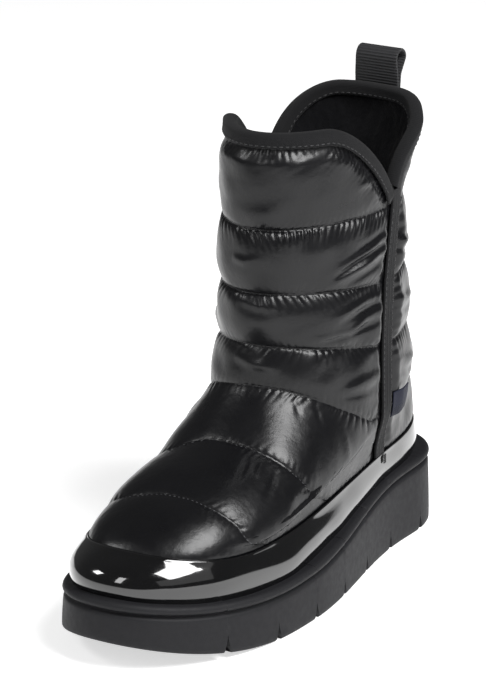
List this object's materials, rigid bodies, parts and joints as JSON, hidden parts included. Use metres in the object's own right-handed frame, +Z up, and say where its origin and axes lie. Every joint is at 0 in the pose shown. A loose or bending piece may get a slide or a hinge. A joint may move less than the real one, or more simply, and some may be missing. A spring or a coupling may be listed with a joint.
{
  "type": "apres ski boot",
  "caption": "Quilted apres ski boot for the left foot: padded nylon upper, glossy rand, thick notched sole, inside zip and a webbing pull loop.",
  "frame": {"origin": "on the floor under the heel seat, at the centre of the flat tread face between the first two cuts of the heel", "axes": "toe towards -Y, outer (lateral) side towards +X, +Z up"},
  "size_m": [0.1057, 0.272, 0.25],
  "materials": {
    "sole_rubber": "matte dark grey moulded rubber",
    "fleece": "short black fleece pile",
    "quilted_nylon": "semi-gloss black woven nylon over padding",
    "patent_rand": "mirror-gloss black patent",
    "knit_binding": "matte charcoal ribbed tape",
    "zip_tape": "black woven zip tape",
    "zip_teeth": "black moulded teeth",
    "black_metal": "glossy black lacquered metal",
    "webbing": "black ribbed webbing",
    "woven_label": "dark navy woven cloth, left bare"
  },
  "bodies": {
    "boot": {"outsole": "sole_rubber", "insole": "fleece", "upper": "quilted_nylon", "mudguard": "patent_rand", "seam_binding_lateral": "knit_binding", "seam_binding_medial": "knit_binding", "collar_binding_front": "knit_binding", "collar_binding_back": "knit_binding", "zip_tape": "zip_tape", "zip_teeth": "zip_teeth", "zip_slider": "black_metal", "pull_loop": "webbing", "side_label": "woven_label"},
    "pull_tab": {"zip_pull": "black_metal"}
  },
  "joints": [
    {"name": "zip_pull_hinge", "type": "hinge", "parent": "boot", "child": "pull_tab", "pos_m": [-0.04182, -0.0048, 0.17539], "axis": [0.3411, 0.9385, -0.0537], "range_deg": [0, 150]}
  ]
}
